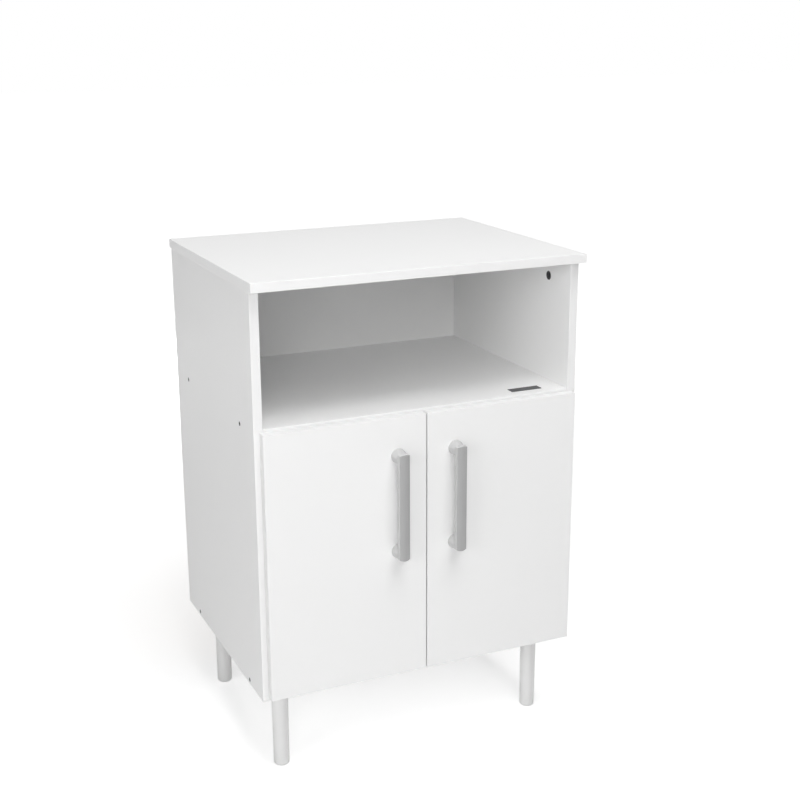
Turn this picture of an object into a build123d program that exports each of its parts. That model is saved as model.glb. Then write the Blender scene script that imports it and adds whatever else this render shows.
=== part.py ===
"""Kitchen stand with an open niche over two hinged doors, on four round legs.

Millimetres. Z is up, the doors face -Y, and the origin is on the floor under the middle of the whole stand.
"""

import os
from math import cos, pi, sin, sqrt

from build123d import *

# Boards and body
board = 15.0  # thickness of every coated board
back_thickness = 3.0
body_width = 560.0  # over the outer faces of the sides
side_depth = 418.0
side_height = 664.0
niche_height = 212.0  # clear, from the niche shelf up to the top panel
top_side_overhang = 3.0
top_front_overhang = 19.0
panel_round = 0.8  # softened edge of a banded board

# Doors
door_gap = 1.5  # between a door's back and the body's front edges
door_side_reveal = 9.0  # of the side's front edge left bare beside a door
door_top_reveal = 4.0
door_bottom_reveal = 7.0
door_meeting_gap = 2.0

# Handles
handle_length = 178.0
handle_width = 18.0
handle_thickness = 10.5
handle_crown = 2.2  # rise of the bar's front over its long edges
handle_end_bow = 2.2  # rise of the bar's ends over their corners
handle_edge_round = 1.0
handle_reach = 26.5  # from the door's face to the bar's front
handle_post_spacing = 160.0
handle_post_base = 24.5
handle_post_neck = 18.0
handle_post_bow = 0.8  # of a post's outline, from its base to its neck
handle_inset = 49.0  # from the door's meeting edge to the bar's middle
handle_drop = 143.0  # from the door's top edge to the bar's middle

# Legs
leg_height = 150.0
leg_top_diameter = 28.0
leg_foot_diameter = 26.4
leg_foot_round = 5.0
leg_side_inset = 46.0  # from the side's outer face to the leg's middle
leg_front_inset = 54.5  # from the sides' front edges
leg_back_inset = 50.0  # from the back panel's face
leg_plate_diameter = 52.0
leg_plate_thickness = 4.0
leg_boss_diameter = 17.0
leg_boss_length = 22.0
leg_screw_circle = 40.0
leg_screw_count = 3

# Inner shelf
shelf_setback = 30.0
shelf_play = 1.0  # at each end
shelf_pin_diameter = 5.0
shelf_pin_length = 16.0
shelf_pin_inset = 60.0  # from the shelf's front and back edges

# Fasteners
fastener_play = 0.05  # round every screw, dowel and pin in its hole
connector_diameter = 5.0
connector_head = 7.0
connector_head_height = 3.0
connector_length = 50.0
connector_inset = 67.0  # from the side's front and back edges
cam_diameter = 15.0
cam_depth = 12.0
cam_drop = 34.0  # from the top panel's underside to the cam's middle
cam_inset = 69.0  # from the side's front and back edges
cam_bolt_diameter = 6.0
cam_bolt_hole = 8.0
cam_bolt_thread = 5.0
cam_bolt_grip = 10.0  # depth of thread in the top panel
dowel_diameter = 8.0
dowel_length = 30.0
dowel_in_top = 10.0
dowel_offset = 32.0  # from a cam's middle towards the middle of the side
nail_diameter = 2.0
nail_head = 4.5
nail_head_height = 0.8
nail_length = 18.0
nail_columns = 5  # up each side
nail_rows = 3  # along each shelf, between the sides
small_screw_diameter = 3.5
small_screw_head = 7.0
small_screw_head_height = 2.0
small_screw_length = 12.0
handle_screw_diameter = 4.0
handle_screw_head = 8.0
handle_screw_head_height = 2.4
handle_screw_grip = 10.0

# Concealed hinges
hinge_inset = 96.0  # from the door's top and bottom edges to a hinge's middle
cup_diameter = 35.0
cup_depth = 11.5
cup_wall = 1.0
cup_floor = 0.8
cup_edge = 5.0  # of the door left between its hinge edge and the cup
cup_flange_length = 64.0
cup_flange_width = 22.0
cup_flange_thickness = 1.0
cup_screw_spacing = 48.0
hinge_pin_diameter = 3.0
hinge_pin_play = 0.05
cup_pin_from_middle = 10.0  # from the cup's middle towards the hinge edge
cup_pin_depth = 2.5  # below the door's inner face
arm_pin_from_middle = 8.5  # from the cup's middle away from the hinge edge
arm_pin_depth = 1.5
lever_thickness = 2.4
lever_bow = 5.5  # of the lever's middle below the line between its pins
lever_width = 10.4
lever_knuckle = 5.6
arm_wall = 1.5
arm_play = 0.3  # between the arm's cheeks and what lies between them
arm_knuckle = 7.2
arm_back = 58.0  # behind the body's front edge
arm_bend = 20.0  # where the straight part of the arm ends
plate_middle = 37.0  # from the side's front edge to the mounting plate's screws
plate_length = 48.0
plate_width = 14.0
plate_thickness = 2.5
plate_screw_spacing = 32.0
plate_screw_diameter = 4.0
plate_screw_head = 7.5
plate_screw_length = 13.5
plate_screw_head_height = 1.9
rail_height = 8.0
rail_length = 32.0
rail_front = 24.0  # behind the body's front edge
arm_screw_diameter = 4.0
arm_screw_head = 8.0
arm_screw_head_height = 2.5
arm_screw_spacing = 16.0

# Places that follow from the sizes above
outer_x = body_width / 2
inner_x = outer_x - board
front_y = (door_gap + board + handle_reach - side_depth - back_thickness) / 2
back_y = front_y + side_depth
body_bottom = leg_height
body_top = leg_height + side_height
niche_floor = body_top - niche_height
door_back_y = front_y - door_gap
door_front_y = door_back_y - board
door_outer_x = outer_x - door_side_reveal
door_inner_x = door_meeting_gap / 2
door_bottom = body_bottom + door_bottom_reveal
door_top = niche_floor - door_top_reveal
hinge_heights = (door_bottom + hinge_inset, door_top - hinge_inset)
handle_x = door_inner_x + handle_inset
handle_z = door_top - handle_drop
handle_post_heights = (handle_z - handle_post_spacing / 2, handle_z + handle_post_spacing / 2)
leg_x = outer_x - leg_side_inset
leg_top = body_bottom - leg_plate_thickness
leg_front_y = front_y + leg_front_inset
leg_back_y = back_y + back_thickness - leg_back_inset
leg_places = {
    "front_left": (-leg_x, leg_front_y),
    "front_right": (leg_x, leg_front_y),
    "back_left": (-leg_x, leg_back_y),
    "back_right": (leg_x, leg_back_y),
}
connector_ys = (front_y + connector_inset, back_y - connector_inset)
connector_zs = (body_bottom + board / 2, niche_floor - board / 2)
cam_ys = (front_y + cam_inset, back_y - cam_inset)
cam_z = body_top - cam_drop
dowel_ys = (cam_ys[0] + dowel_offset, cam_ys[1] - dowel_offset)
joint_x = outer_x - board / 2  # middle of a side's thickness
shelf_bottom = (sum(hinge_heights) - board) / 2  # midway between the hinges
shelf_ys = (front_y + shelf_setback, back_y)
shelf_pin_ys = (shelf_ys[0] + shelf_pin_inset, shelf_ys[1] - shelf_pin_inset)
shelf_pin_z = shelf_bottom - shelf_pin_diameter / 2

# Plan of a left hinge: across from the side's inner face, and back from the body's front edge
cup_u = cup_edge + cup_diameter / 2 - (board - door_side_reveal)
cup_pin = (cup_u - cup_pin_from_middle, -door_gap - cup_pin_depth)
arm_pin = (cup_u + arm_pin_from_middle, -door_gap - arm_pin_depth)
cup_x = -inner_x + cup_u
plate_y = front_y + plate_middle
arm_half_inside = lever_width / 2 + arm_play
arm_half_outside = arm_half_inside + arm_wall
arm_top = rail_height + arm_wall
arm_foot = plate_thickness + arm_play
arm_screw_length = arm_wall + rail_height / 2
rail_middle_v = rail_front + rail_length / 2

os.makedirs("parts", exist_ok=True)

UP = Plane.XY
DOWN = -Plane.XY
RIGHT = Plane.YZ
LEFT = -Plane.YZ
BACK = -Plane.XZ


def keep(piece, node):
    """Names a finished piece and writes its file."""
    piece.part.label = node
    export_step(piece.part, f"parts/{node}.step")


def keep_pair(left, node):
    """Writes a left-hand piece and its mirror image on the right."""
    keep(left, f"{node}_left")
    with BuildPart() as right:
        mirror(left.part, about=Plane.YZ)
    keep(right, f"{node}_right")


def at(facing, x, y, z):
    """Plane that faces one way, with its origin at a point."""
    return Plane(origin=(x, y, z), x_dir=facing.x_dir, z_dir=facing.z_dir)


def block(x_span, y_span, z_span):
    """Adds a rectangular board between two limits on each axis."""
    middle = [sum(span) / 2 for span in (x_span, y_span, z_span)]
    with Locations(tuple(middle)):
        Box(*[high - low for low, high in (x_span, y_span, z_span)])


def pegs(planes, diameter, depth, mode=Mode.ADD):
    """Round pegs, or round holes, from each plane inward against its normal."""
    for plane in planes:
        with BuildSketch(plane) as section:
            Circle(diameter / 2)
        extrude(section.sketch, amount=-depth, mode=mode)


def flat_screws(planes, head, head_height, shank, length, play=0.0, mode=Mode.ADD):
    """Screws with cone heads flush with each plane, or their seats, wider by a play."""
    for plane in planes:
        with BuildSketch(Plane(plane.origin, x_dir=plane.x_dir, z_dir=plane.y_dir)) as section:
            with BuildLine():
                Polyline(
                    (0, 0),
                    (head / 2 + play, 0),
                    (shank / 2 + play, head_height),
                    (shank / 2 + play, length + play),
                    (0, length + play),
                    close=True,
                )
            make_face()
        revolve(section.sketch, axis=Axis(plane.origin, plane.z_dir), mode=mode)


def round_screws(planes, head, head_height, shank, length):
    """Screws whose round heads stand on each plane."""
    pegs([plane.offset(head_height) for plane in planes], head, head_height)
    pegs(planes, shank, length)


def connector_screws(play=0.0, mode=Mode.ADD):
    """Screws through both sides into the ends of the niche shelf and the bottom panel."""
    planes = [at(LEFT, -outer_x, y, z) for y in connector_ys for z in connector_zs]
    planes += [at(RIGHT, outer_x, y, z) for y in connector_ys for z in connector_zs]
    flat_screws(
        planes, connector_head, connector_head_height, connector_diameter, connector_length, play, mode
    )


def cam_locks(play=0.0, mode=Mode.ADD):
    """Round cams let into the inner faces of both sides, high in the niche."""
    planes = [at(RIGHT, -inner_x, y, cam_z) for y in cam_ys]
    planes += [at(LEFT, inner_x, y, cam_z) for y in cam_ys]
    pegs(planes, cam_diameter + 2 * play, cam_depth + play, mode)


def cam_bolts(play=0.0, mode=Mode.ADD):
    """Bolts that hang from the top panel down to the middle of each cam."""
    seats = [at(UP, x, y, body_top) for x in (-joint_x, joint_x) for y in cam_ys]
    pegs(seats, cam_bolt_diameter + 2 * play, cam_drop, mode)
    threads = [plane.offset(cam_bolt_grip + play) for plane in seats]
    pegs(threads, cam_bolt_thread + 2 * play, cam_bolt_grip + play, mode)


def dowels(play=0.0, mode=Mode.ADD):
    """Wooden dowels between the sides' top ends and the top panel."""
    top = body_top + dowel_in_top + play
    ends = [at(UP, x, y, top) for x in (-joint_x, joint_x) for y in dowel_ys]
    pegs(ends, dowel_diameter + 2 * play, dowel_length + 2 * play, mode)


def shelf_pins(play=0.0, mode=Mode.ADD):
    """Pins in both sides, half their length standing out under the inner shelf."""
    reach = inner_x - shelf_pin_length / 2
    planes = [at(RIGHT, -reach, y, shelf_pin_z) for y in shelf_pin_ys]
    planes += [at(LEFT, reach, y, shelf_pin_z) for y in shelf_pin_ys]
    pegs(planes, shelf_pin_diameter + 2 * play, shelf_pin_length + play, mode)


def back_nails(play=0.0, mode=Mode.ADD):
    """Nails through the back panel into the sides, the niche shelf and the bottom panel."""
    side_pitch = side_height / nail_columns
    shelf_pitch = 2 * inner_x / nail_rows
    heights = [body_bottom + side_pitch * (i + 0.5) for i in range(nail_columns)]
    places = [(x, z) for x in (-joint_x, joint_x) for z in heights]
    places += [(shelf_pitch * (i + 0.5) - inner_x, z) for i in range(nail_rows) for z in connector_zs]
    planes = [at(BACK, x, back_y + back_thickness, z) for x, z in places]
    flat_screws(planes, nail_head, nail_head_height, nail_diameter, nail_length, play, mode)


def leg_screws(play=0.0, mode=Mode.ADD):
    """Screws up through the leg plates into the bottom panel."""
    turns = [2 * pi * i / leg_screw_count for i in range(leg_screw_count)]
    ring = [(leg_screw_circle / 2 * sin(turn), leg_screw_circle / 2 * cos(turn)) for turn in turns]
    planes = [
        at(DOWN, x + dx, y + dy, body_bottom - leg_plate_thickness)
        for x, y in leg_places.values()
        for dx, dy in ring
    ]
    flat_screws(
        planes,
        small_screw_head,
        small_screw_head_height,
        small_screw_diameter,
        small_screw_length,
        play,
        mode,
    )


def plate_screws(play=0.0, mode=Mode.ADD):
    """Screws through the left mounting plates into the left side."""
    offsets = (-plate_screw_spacing / 2, plate_screw_spacing / 2)
    planes = [
        at(RIGHT, -inner_x + plate_thickness, plate_y, z + offset)
        for z in hinge_heights
        for offset in offsets
    ]
    flat_screws(
        planes,
        plate_screw_head,
        plate_screw_head_height,
        plate_screw_diameter,
        plate_screw_length,
        play,
        mode,
    )


def hinge_plan(z):
    """Plan of a left hinge: X from the side's inner face, Y from the body's front edge."""
    return at(UP, -inner_x, front_y, z)


# Body of coated boards

with BuildPart() as top_panel:
    block(
        (-outer_x - top_side_overhang, outer_x + top_side_overhang),
        (front_y - top_front_overhang, back_y + back_thickness),
        (body_top, body_top + board),
    )
    fillet(top_panel.edges(), panel_round)
    cam_bolts(fastener_play, Mode.SUBTRACT)
    dowels(fastener_play, Mode.SUBTRACT)
keep(top_panel, "top_panel")

with BuildPart() as side_panel:
    block((-outer_x, -inner_x), (front_y, back_y), (body_bottom, body_top))
    low_edges = side_panel.faces().sort_by(Axis.Z)[0].edges()
    fillet(side_panel.edges().filter_by(Axis.Z) + low_edges, panel_round)
    connector_screws(fastener_play, Mode.SUBTRACT)
    cam_locks(fastener_play, Mode.SUBTRACT)
    pegs([at(UP, -joint_x, y, body_top) for y in cam_ys], cam_bolt_hole, cam_drop, Mode.SUBTRACT)
    dowels(fastener_play, Mode.SUBTRACT)
    shelf_pins(fastener_play, Mode.SUBTRACT)
    back_nails(fastener_play, Mode.SUBTRACT)
    plate_screws(fastener_play, Mode.SUBTRACT)
keep_pair(side_panel, "side_panel")

with BuildPart() as niche_shelf:
    block((-inner_x, inner_x), (front_y, back_y), (niche_floor - board, niche_floor))
    fillet(niche_shelf.faces().sort_by(Axis.Y)[0].edges().filter_by(Axis.X), panel_round)
    connector_screws(fastener_play, Mode.SUBTRACT)
    back_nails(fastener_play, Mode.SUBTRACT)
keep(niche_shelf, "niche_shelf")

with BuildPart() as bottom_panel:
    block((-inner_x, inner_x), (front_y, back_y), (body_bottom, body_bottom + board))
    fillet(bottom_panel.faces().sort_by(Axis.Y)[0].edges().filter_by(Axis.X), panel_round)
    connector_screws(fastener_play, Mode.SUBTRACT)
    back_nails(fastener_play, Mode.SUBTRACT)
    leg_screws(fastener_play, Mode.SUBTRACT)
keep(bottom_panel, "bottom_panel")

with BuildPart() as back_panel:
    block((-outer_x, outer_x), (back_y, back_y + back_thickness), (body_bottom, body_top))
    back_nails(fastener_play, Mode.SUBTRACT)
keep(back_panel, "back_panel")

with BuildPart() as inner_shelf:
    block((shelf_play - inner_x, inner_x - shelf_play), shelf_ys, (shelf_bottom, shelf_bottom + board))
    fillet(inner_shelf.faces().sort_by(Axis.Y)[0].edges().filter_by(Axis.X), panel_round)
keep(inner_shelf, "inner_shelf")

# Fasteners of the body

with BuildPart() as connector_screw_set:
    connector_screws()
keep(connector_screw_set, "connector_screws")

with BuildPart() as cam_lock_set:
    cam_locks()
    cam_bolts(fastener_play, Mode.SUBTRACT)
keep(cam_lock_set, "cam_locks")

with BuildPart() as cam_bolt_set:
    cam_bolts()
keep(cam_bolt_set, "cam_bolts")

with BuildPart() as dowel_set:
    dowels()
keep(dowel_set, "dowels")

with BuildPart() as shelf_pin_set:
    shelf_pins()
keep(shelf_pin_set, "shelf_pins")

with BuildPart() as back_nail_set:
    back_nails()
keep(back_nail_set, "back_panel_nails")

# Legs, each on a round plate with a boss that fills the leg's socket

with BuildPart() as leg_plates:
    for leg_spot in leg_places.values():
        pegs([at(UP, *leg_spot, body_bottom)], leg_plate_diameter, leg_plate_thickness)
        pegs([at(UP, *leg_spot, leg_top)], leg_boss_diameter, leg_boss_length)
    leg_screws(fastener_play, Mode.SUBTRACT)
keep(leg_plates, "leg_plates")

with BuildPart() as leg_screw_set:
    leg_screws()
keep(leg_screw_set, "leg_plate_screws")

for leg_name, leg_spot in leg_places.items():
    with BuildPart() as leg:
        with BuildSketch(at(UP, *leg_spot, 0)):
            Circle(leg_foot_diameter / 2)
        with BuildSketch(at(UP, *leg_spot, leg_top)):
            Circle(leg_top_diameter / 2)
        loft()
        fillet(leg.faces().sort_by(Axis.Z)[0].edges(), leg_foot_round)
        socket = leg_boss_diameter + 2 * fastener_play
        pegs([at(UP, *leg_spot, leg_top)], socket, leg_boss_length + fastener_play, Mode.SUBTRACT)
    keep(leg, f"leg_{leg_name}")

# Doors and what is screwed to them

handle_screw_planes = [at(BACK, -handle_x, door_back_y, z) for z in handle_post_heights]
handle_screw_length = board + handle_screw_grip
handle_screw_hole = handle_screw_diameter + 2 * fastener_play
cup_planes = [at(BACK, cup_x, door_back_y, z) for z in hinge_heights]
cup_screw_planes = [
    at(BACK, cup_x, door_back_y + cup_flange_thickness, z + offset)
    for z in hinge_heights
    for offset in (-cup_screw_spacing / 2, cup_screw_spacing / 2)
]
small_screw_hole = small_screw_diameter + 2 * fastener_play

with BuildPart() as door:
    block((-door_outer_x, -door_inner_x), (door_front_y, door_back_y), (door_bottom, door_top))
    fillet(door.edges(), panel_round)
    pegs(cup_planes, cup_diameter + 2 * fastener_play, cup_depth + fastener_play, Mode.SUBTRACT)
    pegs(cup_screw_planes, small_screw_hole, small_screw_length, Mode.SUBTRACT)
    pegs(handle_screw_planes, handle_screw_hole, handle_screw_length, Mode.SUBTRACT)
keep_pair(door, "door")

with BuildPart() as handle:
    half = handle_width / 2
    end = handle_length / 2
    corner = end - handle_end_bow
    with BuildSketch(at(UP, -handle_x, door_front_y - handle_reach, handle_z - end)):
        with BuildLine():
            ThreePointArc((-half, handle_crown), (0, 0), (half, handle_crown))
            Polyline(
                (half, handle_crown),
                (half, handle_thickness),
                (-half, handle_thickness),
                (-half, handle_crown),
            )
        make_face()
    extrude(amount=handle_length)
    with BuildSketch(at(BACK, -handle_x, door_front_y, handle_z)):
        with BuildLine():
            ThreePointArc((half, corner), (0, end), (-half, corner))
            Line((-half, corner), (-half, -corner))
            ThreePointArc((-half, -corner), (0, -end), (half, -corner))
            Line((half, -corner), (half, corner))
        make_face()
    extrude(amount=handle_reach, both=True, mode=Mode.INTERSECT)
    fillet(handle.edges(), handle_edge_round)
    for post_z in handle_post_heights:
        post_length = handle_reach - handle_thickness
        with BuildSketch(at(UP, -handle_x, door_front_y, post_z)):
            with BuildLine():
                Polyline((0, -post_length), (0, 0), (handle_post_base / 2, 0))
                Line((0, -post_length), (handle_post_neck / 2, -post_length))
                neck = (handle_post_neck / 2, -post_length)
                SagittaArc((handle_post_base / 2, 0), neck, handle_post_bow)
            make_face()
        revolve(axis=Axis((-handle_x, door_front_y, post_z), (0, 1, 0)))
    pegs(handle_screw_planes, handle_screw_hole, handle_screw_length, Mode.SUBTRACT)
keep_pair(handle, "handle")

with BuildPart() as handle_screws:
    round_screws(
        handle_screw_planes,
        handle_screw_head,
        handle_screw_head_height,
        handle_screw_diameter,
        handle_screw_length,
    )
keep_pair(handle_screws, "handle_screws")

# Concealed hinges, two to a door, each with a lever between a pin in its cup and a pin in its arm

cup_pin_edge = cup_pin_from_middle + hinge_pin_diameter / 2
cup_pin_half = sqrt((cup_diameter / 2) ** 2 - cup_pin_edge**2) - fastener_play

with BuildPart() as hinge_cups:
    for cup_plane in cup_planes:
        pegs([cup_plane], cup_diameter, cup_depth)
        with BuildSketch(cup_plane):
            SlotOverall(cup_flange_length, cup_flange_width, rotation=90)
            Circle(cup_diameter / 2 + cup_wall)
        extrude(amount=cup_flange_thickness)
        rim = cup_plane.offset(cup_flange_thickness)
        hollow = cup_depth + cup_flange_thickness - cup_floor
        pegs([rim], cup_diameter - 2 * cup_wall, hollow, Mode.SUBTRACT)
    pegs(cup_screw_planes, small_screw_hole, small_screw_length, Mode.SUBTRACT)
    for hinge_z in hinge_heights:
        with BuildSketch(hinge_plan(hinge_z)):
            with Locations(cup_pin):
                Circle(hinge_pin_diameter / 2 + fastener_play)
        extrude(amount=cup_pin_half + fastener_play, both=True, mode=Mode.SUBTRACT)
keep_pair(hinge_cups, "hinge_cups")

with BuildPart() as cup_screws:
    round_screws(
        cup_screw_planes,
        small_screw_head,
        small_screw_head_height,
        small_screw_diameter,
        small_screw_length,
    )
keep_pair(cup_screws, "hinge_cup_screws")

with BuildPart() as cup_pins:
    for hinge_z in hinge_heights:
        with BuildSketch(hinge_plan(hinge_z)):
            with Locations(cup_pin):
                Circle(hinge_pin_diameter / 2)
        extrude(amount=cup_pin_half, both=True)
keep_pair(cup_pins, "hinge_cup_pins")

with BuildPart() as hinge_levers:
    lever_middle = (
        (cup_pin[0] + arm_pin[0]) / 2,
        (cup_pin[1] + arm_pin[1]) / 2 - lever_bow,
    )
    for hinge_z in hinge_heights:
        with BuildSketch(hinge_plan(hinge_z)):
            with BuildLine():
                ThreePointArc(arm_pin, lever_middle, cup_pin)
            trace(line_width=lever_thickness)
            with Locations(arm_pin, cup_pin):
                Circle(lever_knuckle / 2)
            with Locations(arm_pin, cup_pin):
                Circle(hinge_pin_diameter / 2 + hinge_pin_play, mode=Mode.SUBTRACT)
        extrude(amount=lever_width / 2, both=True)
keep_pair(hinge_levers, "hinge_levers")

with BuildPart() as arm_pins:
    for hinge_z in hinge_heights:
        with BuildSketch(hinge_plan(hinge_z)):
            with Locations(arm_pin):
                Circle(hinge_pin_diameter / 2)
        extrude(amount=arm_half_outside, both=True)
keep_pair(arm_pins, "hinge_arm_pins")


def arm_outline(shift):
    """Side of the arm in plan: straight over the rail, then a neck up to its pin."""
    depth = arm_top - arm_foot
    middle = (arm_top + arm_foot) / 2 - shift
    with Locations((arm_pin[0] - shift, arm_pin[1])):
        Circle(arm_knuckle / 2)
    with Locations((middle, arm_bend + depth / 2)):
        Rectangle(depth, depth)
    make_hull()
    with Locations((middle, (arm_bend + arm_back) / 2)):
        Rectangle(depth, arm_back - arm_bend)


arm_screw_planes = [
    at(RIGHT, -inner_x + arm_top, front_y + rail_middle_v + offset, z)
    for z in hinge_heights
    for offset in (-arm_screw_spacing / 2, arm_screw_spacing / 2)
]
arm_screw_hole = arm_screw_diameter + 2 * fastener_play

with BuildPart() as hinge_arms:
    for hinge_z in hinge_heights:
        with BuildSketch(hinge_plan(hinge_z)):
            arm_outline(0)
        extrude(amount=arm_half_outside, both=True)
        with BuildSketch(hinge_plan(hinge_z)):
            arm_outline(arm_wall)
            with Locations((arm_pin[0], arm_pin[1] + lever_knuckle / 2 + arm_play)):
                Rectangle(2 * arm_back, arm_back, align=(Align.CENTER, Align.MAX))
        extrude(amount=arm_half_inside, both=True, mode=Mode.SUBTRACT)
        with BuildSketch(hinge_plan(hinge_z)):
            with Locations(arm_pin):
                Circle(hinge_pin_diameter / 2 + fastener_play)
        extrude(amount=arm_half_outside, both=True, mode=Mode.SUBTRACT)
    pegs(arm_screw_planes, arm_screw_hole, arm_screw_length, Mode.SUBTRACT)
keep_pair(hinge_arms, "hinge_arms")

with BuildPart() as hinge_plates:
    for hinge_z in hinge_heights:
        with BuildSketch(at(RIGHT, -inner_x, plate_y, hinge_z)):
            SlotOverall(plate_length, plate_width, rotation=90)
        extrude(amount=plate_thickness)
        with BuildSketch(at(RIGHT, -inner_x, front_y + rail_middle_v, hinge_z)):
            Rectangle(rail_length, lever_width)
        extrude(amount=rail_height)
    plate_screws(fastener_play, Mode.SUBTRACT)
    pegs(arm_screw_planes, arm_screw_hole, arm_screw_length, Mode.SUBTRACT)
keep_pair(hinge_plates, "hinge_plates")

with BuildPart() as plate_screw_set:
    plate_screws()
keep_pair(plate_screw_set, "hinge_plate_screws")

with BuildPart() as arm_screws:
    round_screws(
        arm_screw_planes,
        arm_screw_head,
        arm_screw_head_height,
        arm_screw_diameter,
        arm_screw_length - fastener_play,
    )
keep_pair(arm_screws, "hinge_arm_screws")
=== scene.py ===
"""Finishes, small fittings, room and camera for a white kitchen stand with a niche and two doors."""

from math import cos, pi, sin

import bmesh
import bpy
from mathutils import Matrix, Vector


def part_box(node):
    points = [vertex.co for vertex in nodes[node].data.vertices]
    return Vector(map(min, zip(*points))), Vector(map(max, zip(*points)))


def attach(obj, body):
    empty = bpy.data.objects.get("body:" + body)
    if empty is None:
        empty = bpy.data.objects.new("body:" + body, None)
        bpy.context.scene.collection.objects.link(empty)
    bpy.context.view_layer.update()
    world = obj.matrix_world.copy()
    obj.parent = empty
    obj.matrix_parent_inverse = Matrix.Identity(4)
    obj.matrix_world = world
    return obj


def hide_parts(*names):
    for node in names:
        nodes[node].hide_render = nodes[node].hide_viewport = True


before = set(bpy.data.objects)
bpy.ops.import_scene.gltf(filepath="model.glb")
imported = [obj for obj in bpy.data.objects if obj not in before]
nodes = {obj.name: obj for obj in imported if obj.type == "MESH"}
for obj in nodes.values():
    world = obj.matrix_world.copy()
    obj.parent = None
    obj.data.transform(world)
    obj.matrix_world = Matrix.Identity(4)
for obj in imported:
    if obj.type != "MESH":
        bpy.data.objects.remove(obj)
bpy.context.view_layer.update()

# Carcass: two sides, the bottom panel and the niche shelf.
# Particle board pressed between white coated faces with a fine pearl grain.
# Its cut edges are closed with a thin plastic band, glued on and trimmed flush.

coat_white = (0.9, 0.9, 0.898)
coat_dull = [value * 0.982 for value in coat_white]
coat_gloss = 0.42
coat_relief = 0.00006
band_white = (0.885, 0.885, 0.883)
band_thickness = 0.0005
seam_grey = (0.56, 0.56, 0.55)
seam_width = 0.00014


class Strand:
    """One value in a finish; sums and products of values become nodes."""

    def __init__(self, tree, socket=None):
        self.tree = tree
        self.socket = socket

    def node(self, kind, settings, sockets, out=0):
        """Adds a node: its settings first, then the values or links of its sockets."""
        made = self.tree.nodes.new(kind)
        for key, value in settings.items():
            setattr(made, key, value)
        for key, value in sockets.items():
            if isinstance(value, Strand):
                self.tree.links.new(value.socket, made.inputs[key])
            else:
                made.inputs[key].default_value = value
        return Strand(self.tree, made.outputs[out])

    def math(self, operation, *values):
        return self.node("ShaderNodeMath", {"operation": operation}, dict(enumerate(values)))

    def __add__(self, other):
        return self.math("ADD", self, other)

    __radd__ = __add__

    def __sub__(self, other):
        return self.math("SUBTRACT", self, other)

    def __rsub__(self, other):
        return self.math("SUBTRACT", other, self)

    def __mul__(self, other):
        return self.math("MULTIPLY", self, other)

    __rmul__ = __mul__

    def __neg__(self):
        return self.math("MULTIPLY", self, -1.0)

    def __abs__(self):
        return self.math("ABSOLUTE", self)

    def wave(self):
        return self.math("SINE", self)

    def most(self, other):
        return self.math("MAXIMUM", self, other)

    def step(self, low, high):
        """Rises smoothly from 0 to 1 between two values."""
        return self.node(
            "ShaderNodeMapRange",
            {"interpolation_type": "SMOOTHSTEP"},
            {"Value": self, "From Min": low, "From Max": high},
        )

    def spread(self):
        """Stretches the usual values of a grain to run from 0 to 1."""
        return self.step(0.3, 0.7)

    def blend(self, first, second):
        """Mixes two colours by this value; a Mix node has its colours on sockets 6 and 7."""
        colours = [end if isinstance(end, Strand) else (*end, 1.0) for end in (first, second)]
        sockets = {0: self, 6: colours[0], 7: colours[1]}
        return self.node("ShaderNodeMix", {"data_type": "RGBA"}, sockets, out=2)

    def centred(self, middle):
        """A place measured from a point."""
        return self.node("ShaderNodeVectorMath", {"operation": "SUBTRACT"}, {0: self, 1: middle})

    def stretched(self, scale):
        """A place whose pattern is drawn out along the axes of small scale."""
        return self.node("ShaderNodeMapping", {}, {"Vector": self, "Scale": scale})

    def parts(self):
        """The three coordinates of a place."""
        split = self.node("ShaderNodeSeparateXYZ", {}, {0: self})
        return [Strand(self.tree, socket) for socket in split.socket.node.outputs]

    def grain(self, per_metre, detail=2.0, roughness=0.5):
        """Cloudy values from 0 to 1, so many to a metre."""
        sockets = {"Vector": self, "Scale": per_metre, "Detail": detail, "Roughness": roughness}
        return self.node("ShaderNodeTexNoise", {}, sockets)

    def bumps(self, depth, strength):
        """Surface relief of a real depth."""
        return self.node("ShaderNodeBump", {}, {"Height": self, "Distance": depth, "Strength": strength})

    def to(self, shader, name):
        self.tree.links.new(self.socket, shader.inputs[name])


def finish(name, colour, roughness, metallic=0.0):
    """Starts a finish with its plain values, and gives its shader and the place on the piece."""
    material = bpy.data.materials.new(name)
    material.use_nodes = True
    shader = material.node_tree.nodes["Principled BSDF"]
    shader.inputs["Base Color"].default_value = (*colour, 1.0)
    shader.inputs["Roughness"].default_value = roughness
    shader.inputs["Metallic"].default_value = metallic
    place = Strand(material.node_tree).node("ShaderNodeTexCoord", {}, {}, out="Object")
    return material, shader, place


def dress(material, *names):
    """Gives a finish to solids of the frame by name."""
    for name in names:
        solid = nodes[name].data
        solid.materials.clear()
        solid.materials.append(material)


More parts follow.
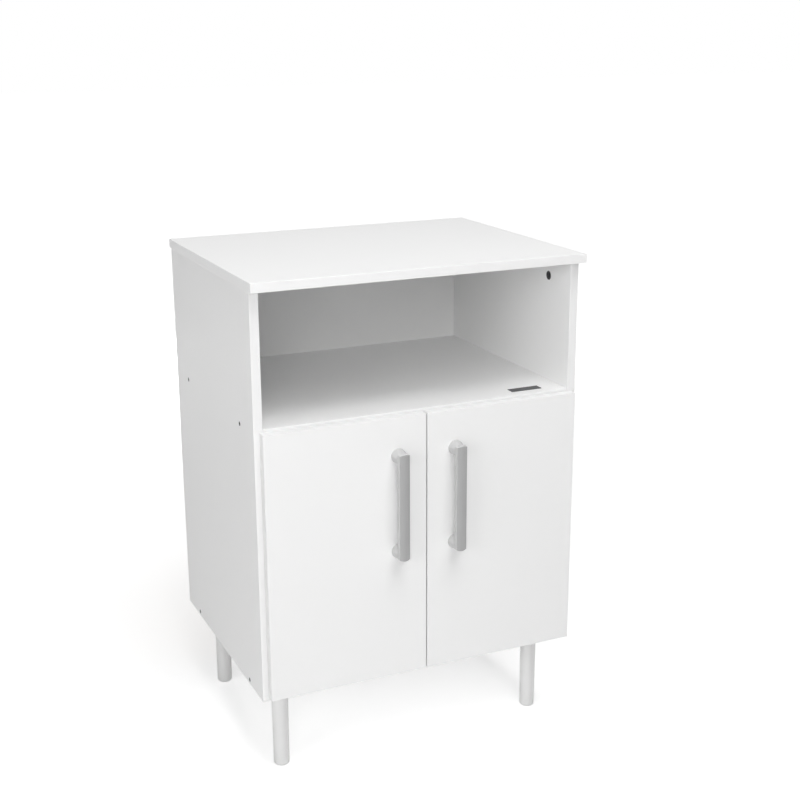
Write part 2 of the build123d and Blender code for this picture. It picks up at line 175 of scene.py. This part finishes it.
def coat_board(name):
    """White coated board whose four narrow sides carry the plastic band."""
    low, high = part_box(name)
    size = high - low
    thin = list(size).index(min(size))
    material, shader, place = finish(f"coated_{name}", coat_white, roughness=0.4)
    shader.inputs["Specular IOR Level"].default_value = coat_gloss
    bands = []
    seams = []
    for axis, along in enumerate(place.parts()):
        if axis != thin:
            middle = (low[axis] + high[axis]) / 2
            glue_line = size[axis] / 2 - band_thickness
            out = abs(along - middle)
            bands.append(out.step(glue_line, glue_line + seam_width))
            seams.append(1.0 - abs(out - glue_line).step(0.0, seam_width))
    band = bands[0].most(bands[1])
    seam = seams[0].most(seams[1])
    tone = place.grain(2.6, 3.0).spread()
    dust = place.grain(31.0, 4.0, 0.6)
    coat = (tone * 0.5).blend(coat_white, coat_dull)
    banded = band.blend(coat, band_white)
    (seam * 0.45).blend(banded, seam_grey).to(shader, "Base Color")
    (0.36 + dust * 0.09 - band * 0.07).to(shader, "Roughness")
    pearl = place.grain(1500.0, 2.0) * (1.0 - band)
    press = place.grain(75.0, 1.0)
    (pearl * 0.4 + press - seam * 0.5).bumps(coat_relief, 0.55).to(shader, "Normal")
    dress(material, name)


for board in ("side_panel_left", "side_panel_right", "bottom_panel", "niche_shelf"):
    coat_board(board)

# Connector screws: eight steel screws through the sides into the ends of the boards.
# Black-finished steel, cone head pulled flush with the side and driven by a hexagon key.
# The head, its socket and the shank are turned once and copied to the eight holes.

connector_head = 0.007
connector_head_height = 0.003
connector_shank = 0.005
connector_length = 0.05
socket_width = 0.0036
socket_depth = 0.0026
head_edge = 0.00012
point_share = 0.35
screw_sides = 32
steel_relief = 0.00003
square_on = 0.9
hair_breadth = 1e-6
crisp_angle = pi / 6


def clear_selection():
    """Leaves nothing selected, so that an operator acts only on the new piece."""
    if bpy.context.mode != "OBJECT":
        bpy.ops.object.mode_set(mode="OBJECT")
    bpy.ops.object.select_all(action="DESELECT")


def round_blank(width, low, high, sides):
    """Upright bar on the middle axis, from one height to another."""
    clear_selection()
    bpy.ops.mesh.primitive_cylinder_add(
        vertices=sides, radius=width / 2, depth=high - low, location=(0.0, 0.0, (low + high) / 2)
    )
    bpy.ops.object.transform_apply()
    return bpy.context.object


def faces_down(middle, normal):
    return normal.z < -square_on


def pick_faces(piece, test):
    """Selects the faces of the piece in edit mode whose middle and normal pass a test."""
    bpy.ops.mesh.select_mode(type="FACE")
    shape = bmesh.from_edit_mesh(piece.data)
    for face in shape.faces:
        face.select_set(bool(test(face.calc_center_median(), face.normal)))
    bmesh.update_edit_mesh(piece.data)


def pick_edges(piece, test):
    """Selects the edges of the piece in edit mode whose two ends both pass a test."""
    bpy.ops.mesh.select_mode(type="EDGE")
    shape = bmesh.from_edit_mesh(piece.data)
    for edge in shape.edges:
        edge.select_set(all(test(corner.co) for corner in edge.verts))
    bmesh.update_edit_mesh(piece.data)


def push(offset):
    """Extrudes the selected faces along an offset."""
    bpy.ops.mesh.extrude_region_move(TRANSFORM_OT_translate={"value": offset})


def narrow(factor):
    """Draws the selected faces in towards the middle axis."""
    bpy.ops.transform.resize(value=(factor, factor, 1.0), center_override=(0.0, 0.0, 0.0))


def cut(piece, cutter):
    """Takes one shape out of another and removes the cutter."""
    change = piece.modifiers.new("cut", "BOOLEAN")
    change.object = cutter
    change.operation = "DIFFERENCE"
    change.solver = "EXACT"
    clear_selection()
    bpy.context.view_layer.objects.active = piece
    bpy.ops.object.modifier_apply(modifier=change.name)
    bpy.data.objects.remove(cutter)


def flat_screw(head, head_height, shank, length):
    """Screw with a cone head: its face is at the origin and it points down."""
    screw = round_blank(head, -head_height, 0.0, screw_sides)
    bpy.ops.object.mode_set(mode="EDIT")
    pick_faces(screw, faces_down)
    narrow(shank / head)
    push((0.0, 0.0, head_height + shank - length))
    push((0.0, 0.0, -shank))
    narrow(point_share)
    pick_edges(screw, lambda end: end.z > -hair_breadth)
    bpy.ops.mesh.bevel(offset=head_edge, segments=2, affect="EDGES")
    bpy.ops.object.mode_set(mode="OBJECT")
    return screw


def end_pair(low, high, width):
    """The middles of two like pieces that lie at the two ends of a length."""
    return low + width / 2, high - width / 2


def set_out(model, spots, facing):
    """Copies a model to each spot with its top towards one side."""
    turn = Vector((0.0, 0.0, 1.0)).rotation_difference(Vector(facing)).to_matrix().to_4x4()
    copies = []
    for spot in spots:
        copy = bpy.data.objects.new("copy", model.data.copy())
        bpy.context.scene.collection.objects.link(copy)
        copy.data.transform(Matrix.Translation(spot) @ turn)
        copies.append(copy)
    return copies


def gather(copies, name):
    """Joins the copies into one named piece with crisp edges and round sides."""
    clear_selection()
    for copy in copies:
        copy.select_set(True)
    bpy.context.view_layer.objects.active = copies[0]
    bpy.ops.object.join()
    piece = bpy.context.object
    piece.name = name
    bpy.ops.object.shade_smooth_by_angle(angle=crisp_angle)
    return piece


def steel(name, colour, roughness, streak):
    """Plated steel, clouded by its bath and faintly scratched."""
    material, shader, place = finish(name, colour, roughness, metallic=1.0)
    shade = [value * 0.8 for value in colour]
    cloud = place.grain(160.0, 3.0)
    scratch = place.stretched((1.0, 1.0, 0.06)).grain(2600.0, 2.0)
    cloud.step(0.3, 0.75).blend(colour, shade).to(shader, "Base Color")
    (roughness - 0.08 + cloud * 0.12 + scratch * streak).to(shader, "Roughness")
    (scratch * 0.6 + cloud).bumps(steel_relief, 0.5).to(shader, "Normal")
    return material


black_steel = steel("black_steel", colour=(0.03, 0.03, 0.032), roughness=0.42, streak=0.1)
connector = flat_screw(connector_head, connector_head_height, connector_shank, connector_length)
cut(connector, round_blank(socket_width, -socket_depth, socket_depth, sides=6))
low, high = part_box("connector_screws")
connector_ys = end_pair(low.y, high.y, connector_head)
connector_zs = end_pair(low.z, high.z, connector_head)
holes = [(y, z) for y in connector_ys for z in connector_zs]
heads = set_out(connector, [(low.x, y, z) for y, z in holes], (-1, 0, 0))
heads += set_out(connector, [(high.x, y, z) for y, z in holes], (1, 0, 0))
bpy.data.objects.remove(connector)
connectors = gather(heads, "connector_screws_hexagon")
connectors.data.materials.append(black_steel)
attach(connectors, "cabinet")
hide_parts("connector_screws")

# Back panel: a thin hardboard sheet nailed over the back edges of the carcass.
# White lacquer covers the face towards the niche and runs round the cut edges; the rear face
# is bare brown fibre with the print of the wire screen that the sheet was pressed on.

lacquer_white = (0.89, 0.89, 0.888)
lacquer_dull = (0.875, 0.875, 0.872)
lacquer_thickness = 0.0002
fibre_brown = (0.3, 0.175, 0.09)
fibre_dark = (0.19, 0.105, 0.052)
fibre_relief = 0.00018
screen_pitch = 0.0016

hardboard, shader, place = finish("lacquered_hardboard", lacquer_white, roughness=0.45)
rear_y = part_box("back_panel")[1].y
across, deep, up = place.parts()
bare = deep.step(rear_y - 2 * lacquer_thickness, rear_y - lacquer_thickness)
fibre = place.stretched((1.0, 1.0, 0.45)).grain(420.0, 5.0, 0.65)
cloud = place.grain(5.0, 3.0)
fleck = place.grain(300.0, 2.0)
screen_turn = 2 * pi / screen_pitch
screen = (across * screen_turn).wave() * (up * screen_turn).wave()
brown = (fibre * 0.7 + cloud * 0.3).step(0.32, 0.66).blend(fibre_dark, fibre_brown)
lacquer = cloud.spread().blend(lacquer_white, lacquer_dull)
bare.blend(lacquer, brown).to(shader, "Base Color")
(0.42 + bare * 0.4 + fibre * 0.08).to(shader, "Roughness")
((screen * 0.5 + fibre) * bare + fleck * 0.25).bumps(fibre_relief, 0.6).to(shader, "Normal")
dress(hardboard, "back_panel")

zinc_steel = steel("zinc_steel", colour=(0.62, 0.63, 0.64), roughness=0.36, streak=0.12)
dress(zinc_steel, "back_panel_nails")

# Legs: four tapered legs, each pushed on the boss of a round plate under the bottom panel.
# White moulded plastic with a fine satin grain and the faint line of its mould.
# Three cross-headed screws hold each plate.

leg_white = (0.83, 0.83, 0.826)
leg_dull = (0.81, 0.81, 0.805)
leg_relief = 0.00005
leg_names = ("leg_front_left", "leg_front_right", "leg_back_left", "leg_back_right")
line_half_width = (0.00008, 0.00022)
line_from_axis = (0.005, 0.006)
screw_ring = 0.02
screws_per_plate = 3
cross_arm = 0.28
cross_taper = 0.45


def moulding(name, axis):
    """Satin white plastic with two mould lines down opposite sides of an upright axis."""
    material, shader, place = finish(name, leg_white, roughness=0.42)
    across, deep, up = place.centred(axis).parts()
    line = (1.0 - abs(deep).step(*line_half_width)) * abs(across).step(*line_from_axis)
    cloud = place.grain(24.0, 3.0)
    cloud.spread().blend(leg_white, leg_dull).to(shader, "Base Color")
    (0.38 + cloud * 0.1).to(shader, "Roughness")
    (place.grain(900.0, 2.0) * 0.5 + line).bumps(leg_relief, 0.6).to(shader, "Normal")
    return material


def cross(width, depth, top=0.0):
    """Cutter for a cross recess: a square drawn out to four arms and tapered down from a height."""
    arm = width * cross_arm
    reach = (width - arm) / 2
    clear_selection()
    bpy.ops.mesh.primitive_cube_add(size=1.0, location=(0.0, 0.0, top), scale=(arm, arm, 2 * depth))
    cutter = bpy.context.object
    bpy.ops.object.transform_apply()
    bpy.ops.object.mode_set(mode="EDIT")
    for way in ((1, 0, 0), (-1, 0, 0), (0, 1, 0), (0, -1, 0)):
        side = Vector(way)
        pick_faces(cutter, lambda middle, normal: normal.dot(side) > square_on and middle.dot(side) < arm)
        push(side * reach)
    pick_faces(cutter, faces_down)
    narrow(cross_taper)
    bpy.ops.object.mode_set(mode="OBJECT")
    return cutter


leg_axes = []
for leg in leg_names:
    low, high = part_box(leg)
    leg_axis = ((low.x + high.x) / 2, (low.y + high.y) / 2, 0.0)
    leg_axes.append(leg_axis)
    dress(moulding(f"moulded_{leg}", leg_axis), leg)
dress(moulding("moulded_plate", (0.0, 0.0, 0.0)), "leg_plates")

leg_screw = flat_screw(head=0.007, head_height=0.002, shank=0.0035, length=0.012)
cut(leg_screw, cross(width=0.0042, depth=0.0013))
heads_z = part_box("leg_plate_screws")[0].z
turns = [2 * pi * i / screws_per_plate for i in range(screws_per_plate)]
ring = [(screw_ring * sin(turn), screw_ring * cos(turn)) for turn in turns]
spots = [(x + dx, y + dy, heads_z) for x, y, z in leg_axes for dx, dy in ring]
leg_screws = gather(set_out(leg_screw, spots, (0, 0, -1)), "leg_plate_screws_cross")
bpy.data.objects.remove(leg_screw)
leg_screws.data.materials.append(zinc_steel)
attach(leg_screws, "cabinet")
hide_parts("leg_plate_screws")

# Top panel: the same coated board, overhanging the sides and the doors.
# Bolts hang from it into black cams let into the sides, high in the niche,
# and beech dowels keep it from sliding; a cam is turned tight through its cross slot.

beech_tan = (0.52, 0.34, 0.18)
beech_dark = (0.42, 0.25, 0.12)
beech_pale = (0.58, 0.39, 0.21)
beech_relief = 0.0001
cam_black = (0.02, 0.02, 0.021)
cam_worn = (0.034, 0.034, 0.036)
cam_relief = 0.00005
cam_width = 0.015
cam_depth = 0.012
cam_rim = 0.0011
cam_dish = 0.0006
cam_dish_taper = 0.97
cam_edge = 0.00018
cam_sides = 64


def faces_up(middle, normal):
    return normal.z > square_on


coat_board("top_panel")
dress(zinc_steel, "cam_bolts")

beech, shader, place = finish("raw_beech", beech_tan, roughness=0.65)
rays = place.stretched((1.0, 1.0, 0.05)).grain(700.0, 3.0)
rays.spread().blend(beech_dark, beech_pale).to(shader, "Base Color")
(0.55 + rays * 0.2).to(shader, "Roughness")
rays.bumps(beech_relief, 0.6).to(shader, "Normal")
dress(beech, "dowels")

black_cam, shader, place = finish("black_cam", cam_black, roughness=0.5)
speck = place.grain(520.0, 3.0)
speck.spread().blend(cam_black, cam_worn).to(shader, "Base Color")
(0.42 + speck * 0.16).to(shader, "Roughness")
speck.bumps(cam_relief, 0.6).to(shader, "Normal")

cam = round_blank(cam_width, -cam_depth, 0.0, cam_sides)
bpy.ops.object.mode_set(mode="EDIT")
pick_faces(cam, faces_up)
bpy.ops.mesh.inset(thickness=cam_rim)
push((0.0, 0.0, -cam_dish))
narrow(cam_dish_taper)
pick_edges(cam, lambda end: end.z > -hair_breadth)
bpy.ops.mesh.bevel(offset=cam_edge, segments=2, affect="EDGES")
bpy.ops.object.mode_set(mode="OBJECT")
cut(cam, cross(width=0.0078, depth=0.0032, top=-cam_dish))
low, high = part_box("cam_locks")
cam_ys = end_pair(low.y, high.y, cam_width)
cam_z = (low.z + high.z) / 2
left_wall_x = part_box("side_panel_left")[1].x
right_wall_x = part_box("side_panel_right")[0].x
set_cams = set_out(cam, [(left_wall_x, y, cam_z) for y in cam_ys], (1, 0, 0))
set_cams += set_out(cam, [(right_wall_x, y, cam_z) for y in cam_ys], (-1, 0, 0))
bpy.data.objects.remove(cam)
cams = gather(set_cams, "cam_locks_cross")
cams.data.materials.append(black_cam)
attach(cams, "cabinet")
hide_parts("cam_locks")

# Inner shelf: a loose board behind the doors, coated and banded as the others are.
# It rests on four zinc-plated steel pins pushed into the sides.

coat_board("inner_shelf")
dress(zinc_steel, "shelf_pins")

# Doors: two coated boards hung in front of the sides, banded all round.
# Each is drilled from behind for its two hinge cups and its handle screws.

coat_board("door_left")
coat_board("door_right")

# Handles: a crowned bar on two flared posts, one casting.
# Light silver satin paint with fine flake, set a little darker all over as painted shade for the posts under
# the bar.
# The faces looking forward along the bar get a darker grey, which is painted shade, and a fine lengthwise
# brush relief.
# Two pan-headed screws come through each door from behind.

silver_paint_darkened_for_shade = (0.505, 0.505, 0.505)
silver_flake_darkened_for_shade = (0.56, 0.56, 0.56)
painted_shade_grey = (0.342, 0.342, 0.342)
painted_shade_pale = (0.39, 0.39, 0.392)
front_facing = (0.72, 0.86)
front_depth = 0.0028
front_fade = 0.0006
handle_relief = 0.00003
handle_screw_head = 0.008
handle_screw_height = 0.0024
dome_share = 0.55
blunt_share = 0.5

satin_handle, shader, place = finish("satin_silver", silver_paint_darkened_for_shade, roughness=0.4, metallic=0.2)
front_ends_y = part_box("handle_left")[0].y + front_depth
across, deep, up = place.parts()
outward = -place.node("ShaderNodeTexCoord", {}, {}, out="Normal").parts()[1]
# Painted shade: faces turned forward along the bar get a darker grey than the sides and posts; the same mask
# carries the brush relief.
painted_shade_and_brush_front = outward.step(*front_facing) * (1.0 - deep.step(front_ends_y - front_fade, front_ends_y))
flake = place.grain(2400.0, 2.0)
brush = place.stretched((1.0, 1.0, 0.015)).grain(1900.0, 3.0)
cloud = place.grain(14.0, 3.0)
fine = (flake * 0.5 + brush * 0.5).spread()
body = fine.blend(silver_paint_darkened_for_shade, silver_flake_darkened_for_shade)
painted_shade_strip = fine.blend(painted_shade_grey, painted_shade_pale)
painted_shade_and_brush_front.blend(body, painted_shade_strip).to(shader, "Base Color")
(0.33 + cloud * 0.1 + brush * 0.08).to(shader, "Roughness")
(brush * painted_shade_and_brush_front + flake * 0.4).bumps(handle_relief, 0.5).to(shader, "Normal")
dress(satin_handle, "handle_left", "handle_right")


def pan_screw(head, head_height, shank, length):
    """Screw with a low round head standing on the origin's plane, pointing down."""
    screw = round_blank(head, 0.0, head_height, screw_sides)
    bpy.ops.object.mode_set(mode="EDIT")
    pick_faces(screw, faces_down)
    bpy.ops.mesh.inset(thickness=(head - shank) / 2)
    push((0.0, 0.0, shank / 2 - length))
    push((0.0, 0.0, -shank / 2))
    narrow(blunt_share)
    pick_edges(screw, lambda end: end.z > head_height - hair_breadth)
    bpy.ops.mesh.bevel(offset=head_height * dome_share, segments=5, affect="EDGES")
    bpy.ops.object.mode_set(mode="OBJECT")
    return screw


handle_screw = pan_screw(handle_screw_head, handle_screw_height, shank=0.004, length=0.025)
cut(handle_screw, cross(width=0.0046, depth=0.0016, top=handle_screw_height))
for side in ("left", "right"):
    low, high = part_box(f"handle_screws_{side}")
    seat_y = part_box(f"door_{side}")[1].y
    spots = [((low.x + high.x) / 2, seat_y, z) for z in end_pair(low.z, high.z, handle_screw_head)]
    piece = gather(set_out(handle_screw, spots, (0, 1, 0)), f"handle_screws_{side}_cross")
    piece.data.materials.append(zinc_steel)
    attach(piece, f"door_{side}")
    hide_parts(f"handle_screws_{side}")
bpy.data.objects.remove(handle_screw)

# Concealed hinges: a pressed cup let into each door, a hooked lever and an arm on a plate.
# Nickel-plated pressed steel, with riveted steel pins.
# The cups, plates and arms are held and set by small cross-headed screws.

cup_screw_head = 0.007
cup_screw_height = 0.002
cup_screw_pitch = 0.048
arm_screw_head = 0.008
arm_screw_height = 0.0025
side_screw_head = 0.0075
side_screw_pitch = 0.032

nickel = steel("bright_nickel", colour=(0.66, 0.65, 0.62), roughness=0.27, streak=0.1)
for side in ("left", "right"):
    dress(nickel, f"hinge_cups_{side}", f"hinge_levers_{side}", f"hinge_arms_{side}", f"hinge_plates_{side}")
    dress(zinc_steel, f"hinge_cup_pins_{side}", f"hinge_arm_pins_{side}")

cup_screw = pan_screw(cup_screw_head, cup_screw_height, shank=0.0035, length=0.012)
cut(cup_screw, cross(width=0.0042, depth=0.0013, top=cup_screw_height))
arm_screw = pan_screw(arm_screw_head, arm_screw_height, shank=0.004, length=0.0054)
cut(arm_screw, cross(width=0.005, depth=0.0016, top=arm_screw_height))
side_screw = flat_screw(side_screw_head, head_height=0.0019, shank=0.004, length=0.0135)
cut(side_screw, cross(width=0.0046, depth=0.0014))


def two_pairs(low, high, head, pitch):
    """Heights of the screws of a lower and an upper hinge, a pair to each."""
    first, last = end_pair(low, high, head)
    return first, first + pitch, last - pitch, last


for side, inward in (("left", 1), ("right", -1)):
    low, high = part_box(f"hinge_cup_screws_{side}")
    cup_x = (low.x + high.x) / 2
    seat_y = high.y - cup_screw_height
    spots = [(cup_x, seat_y, z) for z in two_pairs(low.z, high.z, cup_screw_head, cup_screw_pitch)]
    cup_set = gather(set_out(cup_screw, spots, (0, 1, 0)), f"hinge_cup_screws_{side}_cross")
    low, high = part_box(f"hinge_arm_screws_{side}")
    seat_x = high.x - arm_screw_height if inward > 0 else low.x + arm_screw_height
    arm_ys = end_pair(low.y, high.y, arm_screw_head)
    arm_zs = end_pair(low.z, high.z, arm_screw_head)
    spots = [(seat_x, y, z) for y in arm_ys for z in arm_zs]
    arm_set = gather(set_out(arm_screw, spots, (inward, 0, 0)), f"hinge_arm_screws_{side}_cross")
    low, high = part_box(f"hinge_plate_screws_{side}")
    face_x = high.x if inward > 0 else low.x
    plate_y = (low.y + high.y) / 2
    spots = [(face_x, plate_y, z) for z in two_pairs(low.z, high.z, side_screw_head, side_screw_pitch)]
    plate_set = gather(set_out(side_screw, spots, (inward, 0, 0)), f"hinge_plate_screws_{side}_cross")
    for piece, body, node in (
        (cup_set, f"door_{side}", f"hinge_cup_screws_{side}"),
        (arm_set, "cabinet", f"hinge_arm_screws_{side}"),
        (plate_set, "cabinet", f"hinge_plate_screws_{side}"),
    ):
        piece.data.materials.append(zinc_steel)
        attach(piece, body)
        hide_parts(node)
for model in (cup_screw, arm_screw, side_screw):
    bpy.data.objects.remove(model)

# Blank plate: a small bare strip stuck on the niche shelf near its right front corner.
# Dark grey anodised sheet with a softened edge and a fine lengthwise brush.

plate_grey = (0.075, 0.077, 0.08)
plate_bright = (0.11, 0.112, 0.116)
plate_relief = 0.00003
plate_middle = (0.1995, -0.162)
plate_size = (0.055, 0.016, 0.0009)
plate_border = 0.0008
plate_sink = 0.00015
plate_edge = 0.0002

anodised, shader, place = finish("dark_anodised", plate_grey, roughness=0.38, metallic=0.6)
brush = place.stretched((0.02, 1.0, 1.0)).grain(2600.0, 3.0)
brush.spread().blend(plate_grey, plate_bright).to(shader, "Base Color")
(0.32 + brush * 0.12).to(shader, "Roughness")
brush.bumps(plate_relief, 0.6).to(shader, "Normal")

shelf_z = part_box("niche_shelf")[1].z
plate_z = shelf_z + plate_size[2]
clear_selection()
bpy.ops.mesh.primitive_cube_add(size=1.0, location=(*plate_middle, (shelf_z + plate_z) / 2), scale=plate_size)
plate = bpy.context.object
plate.name = "blank_plate"
bpy.ops.object.transform_apply()
bpy.ops.object.mode_set(mode="EDIT")
pick_faces(plate, faces_up)
bpy.ops.mesh.inset(thickness=plate_border)
push((0.0, 0.0, -plate_sink))
pick_edges(plate, lambda end: end.z > plate_z - plate_sink / 2)
bpy.ops.mesh.bevel(offset=plate_edge, segments=3, affect="EDGES")
bpy.ops.object.mode_set(mode="OBJECT")
bpy.ops.object.shade_smooth_by_angle(angle=crisp_angle)
plate.data.materials.append(anodised)
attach(plate, "cabinet")

# Room: a pale floor that runs out of sight, white to the camera but keeping the shadow.
# Four large soft lamps light the front, the left front, the left side and the top; two small ones
# stand low behind and to the right, and the white sky adds a little from all round.

full_white = (1.0, 1.0, 1.0, 1.0)
floor_pale = (0.82, 0.82, 0.82)
floor_width = 40.0
floor_lift = 0.5
lift_grows = (1.2, 3.5)
sky_level = 0.04
stand_middle = (0.0, 0.0, 0.5)


def seen_straight(tree):
    """One for rays from the camera, a mirror or glass, and nought for rays that carry light."""
    start = Strand(tree)
    camera, glossy, clear = (
        start.node("ShaderNodeLightPath", {}, {}, out=f"Is {ray} Ray")
        for ray in ("Camera", "Glossy", "Transmission")
    )
    return camera.most(glossy).most(clear)


clear_selection()
bpy.ops.mesh.primitive_plane_add(size=floor_width, location=(0.0, 0.0, 0.0))
floor = bpy.context.object
floor.name = "floor"
bpy.ops.object.transform_apply()
floor_paint, shader, place = finish("pale_floor", floor_pale, roughness=0.9)
shader.inputs["Specular IOR Level"].default_value = 0.0
tree = floor_paint.node_tree
away = place.node("ShaderNodeVectorMath", {"operation": "LENGTH"}, {0: place}, out="Value")
lift = (floor_lift + away.step(*lift_grows) * (1.0 - floor_lift)) * seen_straight(tree)
glow = place.node("ShaderNodeEmission", {}, {"Color": full_white, "Strength": 1.0})
lifted = place.node("ShaderNodeMixShader", {}, {0: lift, 2: glow})
both = place.node("ShaderNodeAddShader", {}, {0: Strand(tree, shader.outputs[0]), 1: lifted})
both.to(tree.nodes["Material Output"], "Surface")
floor.data.materials.append(floor_paint)

world = bpy.data.worlds.new("white_room")
world.use_nodes = True
bpy.context.scene.world = world
tree = world.node_tree
sky = Strand(tree).node("ShaderNodeBackground", {}, {"Color": full_white, "Strength": sky_level})
white = sky.node("ShaderNodeBackground", {}, {"Color": full_white, "Strength": 1.0})
room = sky.node("ShaderNodeMixShader", {}, {0: seen_straight(tree), 1: sky, 2: white})
room.to(tree.nodes["World Output"], "Surface")


def lamp(name, place, width, power, aim=stand_middle):
    """Square soft lamp that faces a point."""
    light = bpy.data.lights.new(name, "AREA")
    light.shape = "SQUARE"
    light.size = width
    light.energy = power
    holder = bpy.data.objects.new(name, light)
    bpy.context.scene.collection.objects.link(holder)
    turn = (Vector(aim) - Vector(place)).to_track_quat("-Z", "Y").to_matrix().to_4x4()
    holder.matrix_world = Matrix.Translation(place) @ turn


lamp("front_lamp", (0.2, -2.0, 3.4), width=1.8, power=30.0)
lamp("left_lamp", (-1.3, -3.2, 1.9), width=1.6, power=39.5)
lamp("side_lamp", (-2.8, -1.6, 1.3), width=1.6, power=27.5)
lamp("over_lamp", (0.0, -0.9, 3.7), width=2.0, power=56.0)
lamp("back_lamp", (0.0, 3.0, 0.42), width=0.5, power=34.0, aim=(0.0, 0.0, 0.42))
lamp("right_lamp", (3.0, 0.12, 0.42), width=0.4, power=20.0, aim=(0.0, 0.12, 0.42))

# Camera: where the photograph was taken from, a little above the top and to the left.
# Its place, angles and lens were fitted to the stand's straight edges; it has no shift.

eye = Vector((-0.8636, -2.0053, 1.2012))
yaw = 0.4262
pitch = 0.2835
roll = 0.0048
focal_length = 59.875
sensor_width = 36.0
ahead = Vector((sin(yaw) * cos(pitch), cos(yaw) * cos(pitch), -sin(pitch)))
level = Vector((cos(yaw), -sin(yaw), 0.0))
down = ahead.cross(level)
right = level * cos(roll) + down * sin(roll)
above = level * sin(roll) - down * cos(roll)
lens = bpy.data.cameras.new("camera")
lens.lens = focal_length
lens.sensor_width = sensor_width
camera = bpy.data.objects.new("camera", lens)
bpy.context.scene.collection.objects.link(camera)
camera.matrix_world = Matrix.Translation(eye) @ Matrix((right, above, -ahead)).transposed().to_4x4()
bpy.context.scene.camera = camera
bpy.context.scene.view_settings.view_transform = "Standard"
